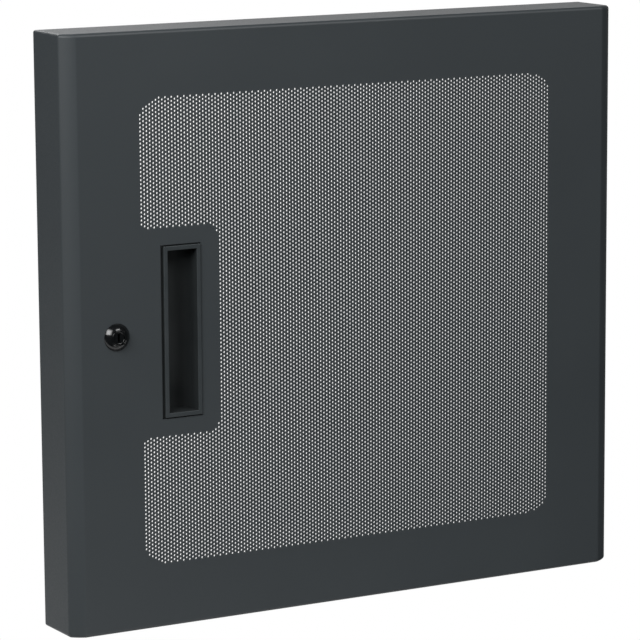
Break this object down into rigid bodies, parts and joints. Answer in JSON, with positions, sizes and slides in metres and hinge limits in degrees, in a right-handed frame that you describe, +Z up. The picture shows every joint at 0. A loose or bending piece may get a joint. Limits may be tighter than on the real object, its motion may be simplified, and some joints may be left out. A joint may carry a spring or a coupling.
{
  "type": "perforated rack door",
  "caption": "Folded steel door for a wall rack, with a perforated field, a recessed pull, a cam lock and two lift-off pin hinges.",
  "frame": {"origin": "middle of the overall box in plan, at the bottom edge of the door", "axes": "+X to the right across the front, +Y back towards the rack, +Z up"},
  "size_m": [0.508, 0.0688, 0.477],
  "materials": {
    "coated_steel": "fine-textured charcoal black powder coat",
    "black_plastic": "lightly grained moulded plastic",
    "black_gloss": "gloss black coated die casting",
    "zinc_steel": "bright zinc plate",
    "spring_steel": "drawn spring wire",
    "brass": "stamped brass",
    "white_nylon": "natural nylon",
    "bumper_rubber": "soft black rubber"
  },
  "bodies": {
    "rack_side": {"upper_leaf": "coated_steel", "lower_leaf": "coated_steel"},
    "door": {"door_skin": "coated_steel", "pull_cup": "black_plastic", "lock_housing": "black_gloss", "lock_washer": "zinc_steel", "lock_nut": "zinc_steel", "upper_bracket": "coated_steel", "pin_spring": "spring_steel", "lower_bracket": "coated_steel", "lower_hinge_pin": "zinc_steel", "hinge_washer": "white_nylon", "door_bumpers": "bumper_rubber"},
    "sprung_pin": {"upper_hinge_pin": "zinc_steel", "pin_clip": "spring_steel"},
    "plug": {"lock_plug": "black_gloss", "lock_wafers": "brass", "stop_washer": "zinc_steel", "lock_cam": "zinc_steel", "cam_washer": "zinc_steel", "cam_screw": "zinc_steel"}
  },
  "joints": [
    {"name": "door_swing", "type": "hinge", "parent": "rack_side", "child": "door", "pos_m": [0.244, 0.01615, 0], "axis": [0, 0, 1], "range_deg": [0, 105]},
    {"name": "pin_retract", "type": "slide", "parent": "door", "child": "sprung_pin", "axis": [0, 0, -1], "range_m": [0, 0.01], "stiffness_N_per_m": 250, "springref_m": -0.02, "deforming": ["pin_spring"]},
    {"name": "lock_turn", "type": "hinge", "parent": "door", "child": "plug", "pos_m": [-0.2115, 0, 0.2385], "axis": [0, 1, 0], "range_deg": [0, 90]}
  ]
}
